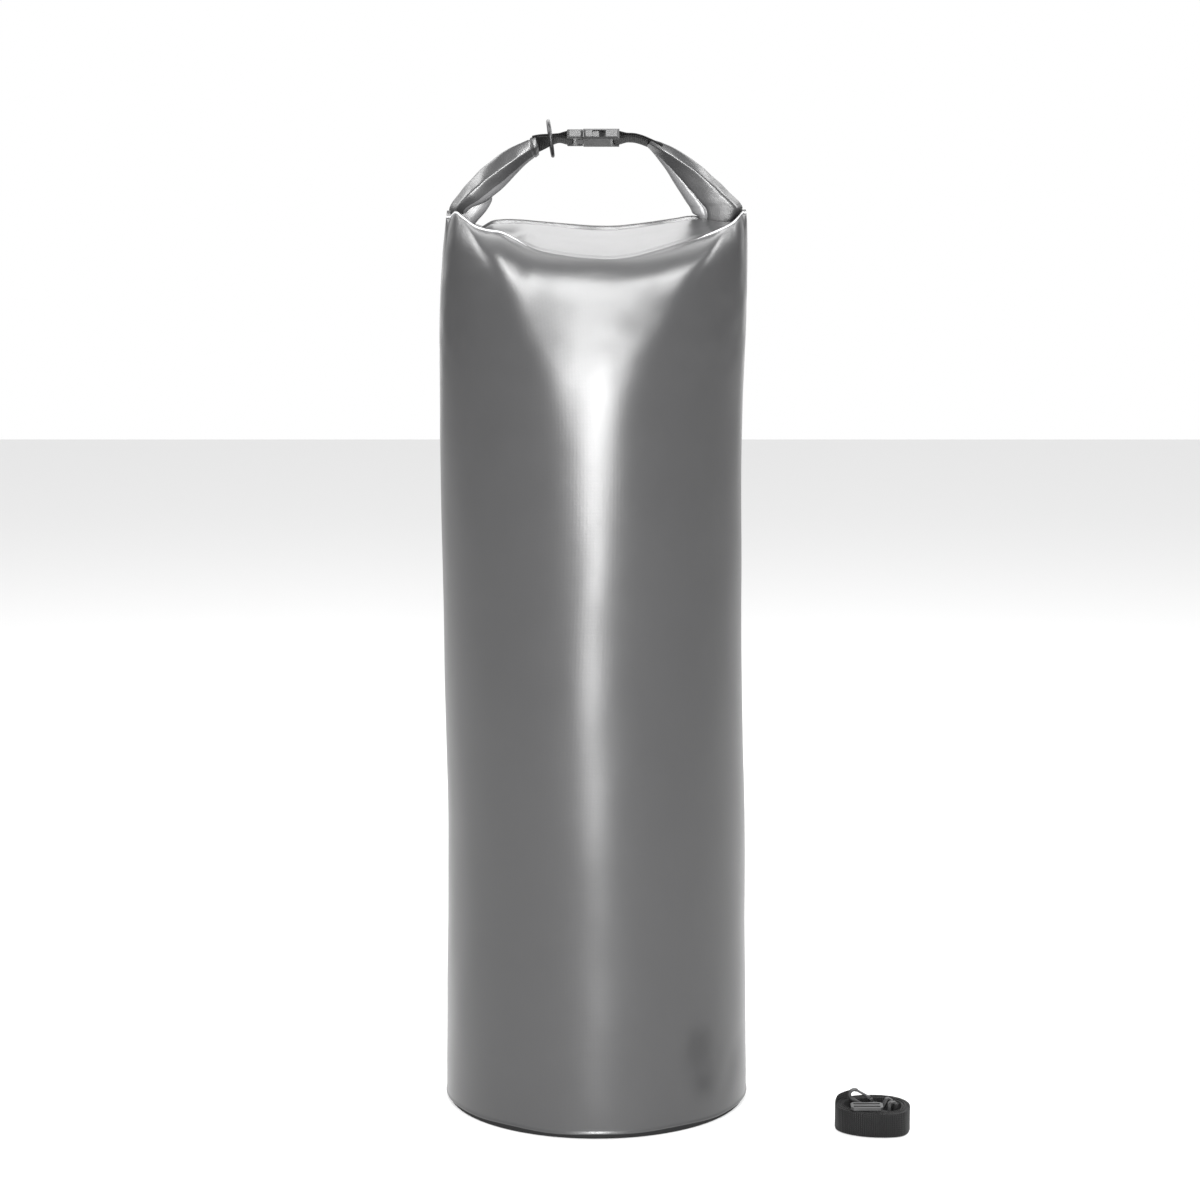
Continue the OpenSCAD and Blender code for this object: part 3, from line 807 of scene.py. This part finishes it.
def make_band(name, stations, section, fabric, steps, seed, hem=0.0):
    """A flattened, folded length of rolled fabric that twists as it follows its two edges.

    hem swells the last few millimetres: by 0.4 of it across the band, and by 3 times it through the band."""
    rows = np.array(stations, float)
    at = np.linspace(0, len(rows) - 1, steps)
    keyed = [table(at, np.stack([np.arange(len(rows)), rows[:, k]], axis=1)) for k in range(7)]
    outer = np.stack(keyed[0:3], axis=1) + [0, 0, shoulder_z]
    inner = np.stack(keyed[3:6], axis=1) + [0, 0, shoulder_z]
    middle, half = (outer + inner) / 2, (outer - inner) / 2
    run = np.gradient(middle, axis=0)
    face = np.cross(half, run)
    face /= np.linalg.norm(face, axis=1)[:, None]
    if face[steps // 2, 1] > 0:
        face = -face
    ring = closed_curve(section)
    # The hem takes up the last 0.4 of a station, with a groove in front of it
    left = len(rows) - 1 - at
    swell = 1 + hem * (smoothstep(-left, -0.42, -0.34) - 0.4 * smoothstep(-left, -0.12, -0.02))
    swell -= hem * 0.5 * np.exp(-((left - 0.46) / 0.06) ** 2)
    points = (
        middle[:, None]
        + half[:, None] * ring[None, :, :1] * (1 + (swell - 1) * 0.4)[:, None, None]
        + face[:, None] * ring[None, :, 1:] * (keyed[6] / 2 * (1 + (swell - 1) * 3))[:, None, None]
    )
    away = points - middle[:, None]
    away /= np.maximum(np.linalg.norm(away, axis=-1), 1e-6)[..., None]
    points = points + away * ripple(points, *ARM_BUMPS, seed)[..., None]
    return grid_mesh(name, points, fabric, closed=True, caps=True)


def show_lining(piece, section, lining, share):
    """Give the faces along a band's inner edge the inside of the fabric."""
    piece.data.materials.append(lining)
    columns = len(closed_curve(section))
    for face in piece.data.polygons:
        column = face.vertices[0] % columns
        inside = column < share * columns or column > LINING_AGAIN * columns
        face.material_index = int(inside and len(face.vertices) == 4)


def make_arms(fabric, lining):
    """The two ends of the roll. They bend out of the shoulders and up to the webbing."""
    right = make_band("right_arm_fold", RIGHT_ARM, FOLDED, fabric, steps=ARM_STEPS, seed=3)
    show_lining(right, FOLDED, lining, RIGHT_LINING)
    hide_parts("right_arm", "right_shoulder_fold")
    base = make_band("left_arm_base", LEFT_BASE, PLAIN_BAND, lining, steps=BASE_STEPS, seed=4)
    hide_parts("left_shoulder_fold")
    left = make_band("left_arm_fold", LEFT_ARM, RIDGED, fabric, steps=ARM_STEPS, seed=5, hem=ARM_HEM)
    show_lining(left, RIDGED, lining, LEFT_LINING)
    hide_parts("left_arm")
    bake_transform(right)
    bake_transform(base)
    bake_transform(left)


# ---------------------------------------------------------------- webbing

# Outline of webbing, with its two thicker edges: share of half width, share of half thickness
STRAP_SECTION = [
    (-1, -0.55), (-1, 0.55), (-0.93, 1), (-0.3, 0.93), (0.3, 0.93), (0.93, 1), (1, 0.55), (1, -0.55),
    (0.93, -1), (0.3, -0.93), (-0.3, -0.93), (-0.93, -1),
]


def make_strap(name, path, across, thick, width, material):
    """Flat webbing along a path; across is its width direction at each point."""
    path, across = np.array(path, float), np.array(across, float)
    across /= np.linalg.norm(across, axis=1)[:, None]
    face = np.cross(across, np.gradient(path, axis=0))
    face /= np.linalg.norm(face, axis=1)[:, None]
    ring = np.array(STRAP_SECTION)
    half = width / 2
    sideways = across[:, None] * ring[None, :, :1] * half
    outward = face[:, None] * ring[None, :, 1:] * thick / 2
    strap = grid_mesh(name, path[:, None] + sideways + outward, material, closed=True, caps=True)
    swap_uv(strap)
    return strap


def swap_uv(piece):
    """Run the first UV direction along the strap, where the ribs follow each other."""
    for loop in piece.data.uv_layers[0].data:
        loop.uv = (loop.uv[1], loop.uv[0])


# The buckle's middle, and its lean towards the front in degrees
BUCKLE_MIDDLE = np.array([-3.0, 0.0, shoulder_z + 66])
BUCKLE_ROLL = -16.0
# Doubled webbing: its bend round a bar, the gap from its middle line to each layer, and where the layers meet
BAR_R = 3.2
BAR_BEND = 70
LAYER = 0.95
LAYERS_MEET = 11.0
# Distance from the bar where the webbing starts to twist
TWIST_FROM = 9.0
WEBBING_NODES = {"plug_webbing": "left_webbing", "socket_webbing": "right_webbing"}


def webbing_route(bar, way, tail, end_lap):
    """Down one side of the tail, round the buckle's bar and back along the other side."""
    tail = along(cut_corners(np.array(tail, float), 2), 26)
    run = np.gradient(tail, axis=0)
    off = np.stack([-run[:, 1], run[:, 0]], axis=1)
    off /= np.linalg.norm(off, axis=1)[:, None]
    gap = LAYER + (BAR_R - LAYER) * smoothstep(-np.abs(tail[:, 0] - bar), -LAYERS_MEET, 0)[:, None]
    upper, lower = tail + off * gap, tail - off * gap
    if upper[0, 1] < lower[0, 1]:
        upper, lower = lower, upper
    turn = np.radians(np.linspace(BAR_BEND, -BAR_BEND, 15))
    bend = np.stack([bar - way * BAR_R * np.cos(turn), BAR_R * np.sin(turn)], axis=1)
    return np.concatenate([upper[::-1], bend, lower[:-end_lap]])


def make_buckle_webbing(name, body, material, bar, way, tail, twist, end_lap):
    """Webbing sewn round a buckle bar, and doubled along its tail.

    bar is where the bar is across, and way the side the tail runs to. twist is the extra roll by the end of
    the tail, in degrees, and end_lap how many points short of that end the lower layer stops."""
    route = along(webbing_route(bar, way, tail, end_lap), 110)
    tail = np.array(tail)
    reach = smoothstep(way * (route[:, 0] - bar), TWIST_FROM, abs(tail[-1, 0] - bar))
    roll = np.radians(BUCKLE_ROLL + twist * reach)
    axis = np.interp(np.abs(route[:, 0] - bar), np.abs(tail[:, 0] - bar), tail[:, 1])
    level = route[:, 1] - axis
    tilt = math.radians(BUCKLE_ROLL)
    y = -axis * math.sin(tilt) - level * np.sin(roll)
    z = axis * math.cos(tilt) + level * np.cos(roll)
    path = np.stack([route[:, 0], y, z], axis=1) + BUCKLE_MIDDLE
    across = np.stack([np.zeros_like(roll), np.cos(roll), np.sin(roll)], axis=1)
    strap = make_strap(name, path, across, thick=1.6, width=web_w - 0.6, material=material)
    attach(strap, body)
    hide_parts(WEBBING_NODES[name])


PLUG_TAIL = [(-23, 0), (-32, 0), (-38, -1.2), (-46, -3.5), (-58, -7)]
SOCKET_TAIL = [(22.7, 0), (37, 0.3), (43, -0.8), (50, -3.2), (66, -11)]


def make_top_webbing(web):
    """Webbing round the plug's bar at the left, and round the socket's at the right."""
    left = {"bar": -22.9, "way": -1, "tail": PLUG_TAIL, "twist": -24, "end_lap": 3}
    right = {"bar": 22.6, "way": 1, "tail": SOCKET_TAIL, "twist": 0, "end_lap": 8}
    make_buckle_webbing("plug_webbing", "plug_end", web, **left)
    make_buckle_webbing("socket_webbing", "loop", web, **right)


# ---------------------------------------------------------------- rolled shoulder strap

COIL_TURNS = 6
# Thickness of the coil's wall and of one layer, in millimetres
COIL_WALL = 10.0
COIL_LAYER = 1.6
# Where the first turn starts, how square its ends are and how far its front is drawn out
COIL_START = 0.36
COIL_SQUARE = 2.2
COIL_PULL = 9.0


def coil_point(turns, low, high):
    """Point on the strap's spiral: an oval that shrinks by the wall's thickness over all its turns.

    It starts at the back left, and its front is drawn out to the right."""
    half_x, half_y = (high[0] - low[0]) / 2, (high[1] - low[1]) / 2
    inset = COIL_LAYER / 2 + (COIL_WALL - COIL_LAYER) * turns / COIL_TURNS
    r = half_y - inset
    straight = half_x - half_y
    a = 2 * math.pi * (turns + COIL_START)
    x = straight * np.tanh(COIL_SQUARE * np.cos(a)) / math.tanh(COIL_SQUARE) + r * np.cos(a)
    x = x + COIL_PULL * np.clip(-np.sin(a), 0, 1) ** 2.5
    return np.stack([x, r * np.sin(a)], axis=-1)


def make_strap_roll(material):
    """The rolled strap, with slightly uneven turns and a raised free end."""
    low, high = box_mm("strap_webbing")
    centre = (low + high) / 2
    turns = np.linspace(0, COIL_TURNS, COIL_TURNS * 90)
    flat = coil_point(turns, low, high)
    flat *= (1 - 0.16 * (1 - smoothstep(turns, 0, 0.08)))[:, None]
    wobble = 0.22 * np.sin(7 * turns + 1.0) + 0.15 * np.sin(17 * turns)
    lift = 0.5 * np.sin(2 * math.pi * turns * 0.61) * smoothstep(turns, 0.5, 2)
    free_end = 8.0 * (1 - smoothstep(turns, 0, 0.17))
    z = centre[2] + lift + free_end + 0.25
    path = np.stack([centre[0] + flat[:, 0], centre[1] + flat[:, 1] + wobble, z], axis=1)
    across = np.tile([0.0, 0.0, 1.0], (len(path), 1))
    strap = make_strap("strap_roll", path, across, thick=1.35, width=web_w - 1.6, material=material)
    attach(strap, "strap")
    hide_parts("strap_webbing")


# Lean of each snap hook from upright, to the left, in degrees
HOOK_LEAN = {"hook_a": 60.0, "hook_b": 90.0}
# Half the size of the oval that the strap's end makes in a hook's slot: along the slot, and through it
SLOT_HALF = 3.4
THROUGH_HALF = 2.1


def make_hook_loops(material):
    """The strap's folded end in the slot of each hook."""
    for hook, lean in HOOK_LEAN.items():
        low, high = box_mm(f"{hook}_end_loop")
        centre = (low + high) / 2
        turn = np.linspace(0, 2 * math.pi, 41)
        across_slot = SLOT_HALF * np.cos(turn)
        through = THROUGH_HALF * np.sin(turn)
        tilt = math.radians(-lean)
        up = np.array([math.sin(tilt), 0, math.cos(tilt)])
        path = centre + across_slot[:, None] * [0, 1, 0] + through[:, None] * up
        across = np.tile([math.cos(tilt), 0, -math.sin(tilt)], (len(path), 1))
        name = f"{hook}_strap_end"
        loop = make_strap(name, path, across, thick=1.3, width=web_w - 0.6, material=material)
        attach(loop, "strap")
        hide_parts(f"{hook}_end_loop")


# ---------------------------------------------------------------- back of the bag


# How far out a search for the shell starts, in metres, and how deep a strip's inner face is sunk in it
SEARCH_FROM = 0.4
STRIP_SUNK = -0.4
# Outlines of the tape and the patch: share of half width, and height over the shell
TAPE_SECTION = [
    (-1, 0.1), (-0.97, 0.55), (-0.86, 0.62), (-0.8, 0.4), (-0.74, 0.6), (-0.3, 0.62), (0.3, 0.62),
    (0.74, 0.6), (0.8, 0.4), (0.86, 0.62), (0.97, 0.55), (1, 0.1),
]
PATCH_SECTION = [
    (-1, 0.1), (-0.985, 0.85), (-0.93, 0.95), (-0.89, 0.6), (-0.85, 0.95), (-0.5, 0.95), (0, 0.95),
    (0.5, 0.95), (0.85, 0.95), (0.89, 0.6), (0.93, 0.95), (0.985, 0.85), (1, 0.1),
]
PATCH_CORNER = 10.0


def on_shell(tree, angle, z, out):
    """Point on the outside of the shell in one direction at one height, moved out from the surface."""
    way = Vector((math.cos(angle), math.sin(angle), 0))
    start = way * SEARCH_FROM + Vector((0, 0, z * MM))
    hit, normal, _, _ = tree.ray_cast(start, -way)
    normal = normal if normal.dot(way) > 0 else -normal
    return (np.array(hit) + np.array(normal) * out * MM) / MM


def make_strip(name, shell, heights, half_width, section, material):
    """A welded strip that follows the back of the shell. half_width gives half its width at a height."""
    corners = [v.co for v in shell.data.vertices]
    tree = BVHTree.FromPolygons(corners, [f.vertices for f in shell.data.polygons])
    rows = []
    for z in heights:
        half = half_width(z)
        outside = [(share * half, out) for share, out in section]
        inside = [(share * half, STRIP_SUNK) for share, _ in section[::-1]]
        ring = [on_shell(tree, math.pi / 2 - across / bag_r, z, out) for across, out in outside + inside]
        rows.append(ring)
    return grid_mesh(name, np.array(rows), material, closed=True, caps=True)


def make_tape(shell, fabric):
    """The welded seam up the back."""
    low, high = box_mm("back_seam_tape")
    half = (high[0] - low[0]) / 2
    heights = np.linspace(low[2], high[2], 80)
    tape = make_strip("seam_tape", shell, heights, lambda z: half, TAPE_SECTION, fabric)
    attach(tape, "bag")
    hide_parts("back_seam_tape")


def make_patch(shell, fabric):
    """The patch under the D-ring's loop, with rounded corners and a welded border."""
    low, high = box_mm("lower_patch")
    half = (high[0] - low[0]) / 2
    middle, reach = (low[2] + high[2]) / 2, (high[2] - low[2]) / 2

    def rounded(z):
        past = max(0.0, abs(z - middle) - (reach - PATCH_CORNER))
        return half - PATCH_CORNER + math.sqrt(max(PATCH_CORNER**2 - past**2, 0.01))

    heights = middle + reach * np.sin(np.linspace(-math.pi / 2, math.pi / 2, 60))
    patch = make_strip("back_patch", shell, heights, rounded, PATCH_SECTION, fabric)
    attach(patch, "bag")
    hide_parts("lower_patch")


# From the D-ring's bar to the middle of the webbing round it
RING_BAR_CLEAR = 1.2


def make_ring_loop(web):
    """Webbing folded round the D-ring's bar and sewn to the patch above it."""
    low, high = box_mm("lower_d_ring")
    bar_r = (high[1] - low[1]) / 2
    bar = np.array([(low[1] + high[1]) / 2, high[2] - bar_r])
    loop_low, loop_high = box_mm("lower_web_loop")
    r = bar_r + RING_BAR_CLEAR
    inner_y, top = loop_low[1] + 1.0, loop_high[2]
    turn = np.radians(np.linspace(150, 400, 26))
    bend = np.stack([bar[0] + r * np.cos(turn), bar[1] + r * np.sin(turn)], axis=1)
    inside = [(inner_y, top), (inner_y, top - 8), (inner_y, top - 16)]
    outside = [(inner_y + 2.2, bar[1] + 9), (inner_y + 1.8, bar[1] + 13), (inner_y + 1.7, top - 1)]
    route = along(np.concatenate([inside, bend, outside]), 90)
    path = np.stack([np.zeros(len(route)), route[:, 0], route[:, 1]], axis=1)
    across = np.tile([1.0, 0, 0], (len(path), 1))
    strap = make_strap("ring_loop", path, across, thick=1.5, width=web_w - 0.4, material=web)
    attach(strap, "bag")
    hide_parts("lower_web_loop")


# ---------------------------------------------------------------- moulded and metal parts


def paint(material, *nodes):
    """Give CAD nodes a material."""
    for node in nodes:
        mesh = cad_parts[node].data
        mesh.materials.clear()
        mesh.materials.append(material)


# ---------------------------------------------------------------- build

add_studio()
GREY = coated_fabric()
LINING = coated_fabric("fabric_inside", tone=0.11)
# Pale fabric for the lip beside the pockets: a painted highlight, not a real pale hem
LIP_PAINTED_HIGHLIGHT = coated_fabric("painted_lip_highlight", tone=0.45)
# Near-black, dull fabric under the weld and on the base: painted shade, not a real black panel
UNDERSIDE_PAINTED_SHADE = coated_fabric("painted_underside_shade", tone=0.012, rough_low=0.7, gloss=0.15)
BLACK_WEB = webbing()
BUCKLE = moulded_plastic("buckle_nylon", tone=0.018, rough_low=0.4, rough_high=0.5)
HOOK = moulded_plastic("hook_nylon", tone=0.012, rough_low=0.45, rough_high=0.6)
STIFF = moulded_plastic("stiffener_plastic", tone=0.08, rough_low=0.5, rough_high=0.65)
RING = metal("ring_metal", tone=0.05, rough_low=0.28, rough_high=0.4, metallic=0.8)
STEEL = metal("gate_steel", tone=0.07, rough_low=0.25, rough_high=0.4, metallic=0.8)

bag_shell = make_bag_shell(GREY, LIP_PAINTED_HIGHLIGHT, UNDERSIDE_PAINTED_SHADE)
# The base takes the near-black material too: painted shade under the bag
make_base(UNDERSIDE_PAINTED_SHADE)
make_roll(GREY)
make_arms(GREY, LINING)
make_tape(bag_shell, GREY)
make_patch(bag_shell, GREY)
make_ring_loop(BLACK_WEB)
make_top_webbing(BLACK_WEB)
make_strap_roll(BLACK_WEB)
make_hook_loops(BLACK_WEB)
paint(BUCKLE, "buckle_socket", "buckle_plug", "prong_front", "prong_back", "strap_slider")
paint(HOOK, "hook_a_swivel_base", "hook_a_body", "hook_b_swivel_base", "hook_b_body")
paint(RING, "top_ring", "lower_d_ring")
paint(STEEL, "hook_a_gate", "hook_b_gate")
paint(GREY, "base_seam_tape")
paint(STIFF, "mouth_stiffener")
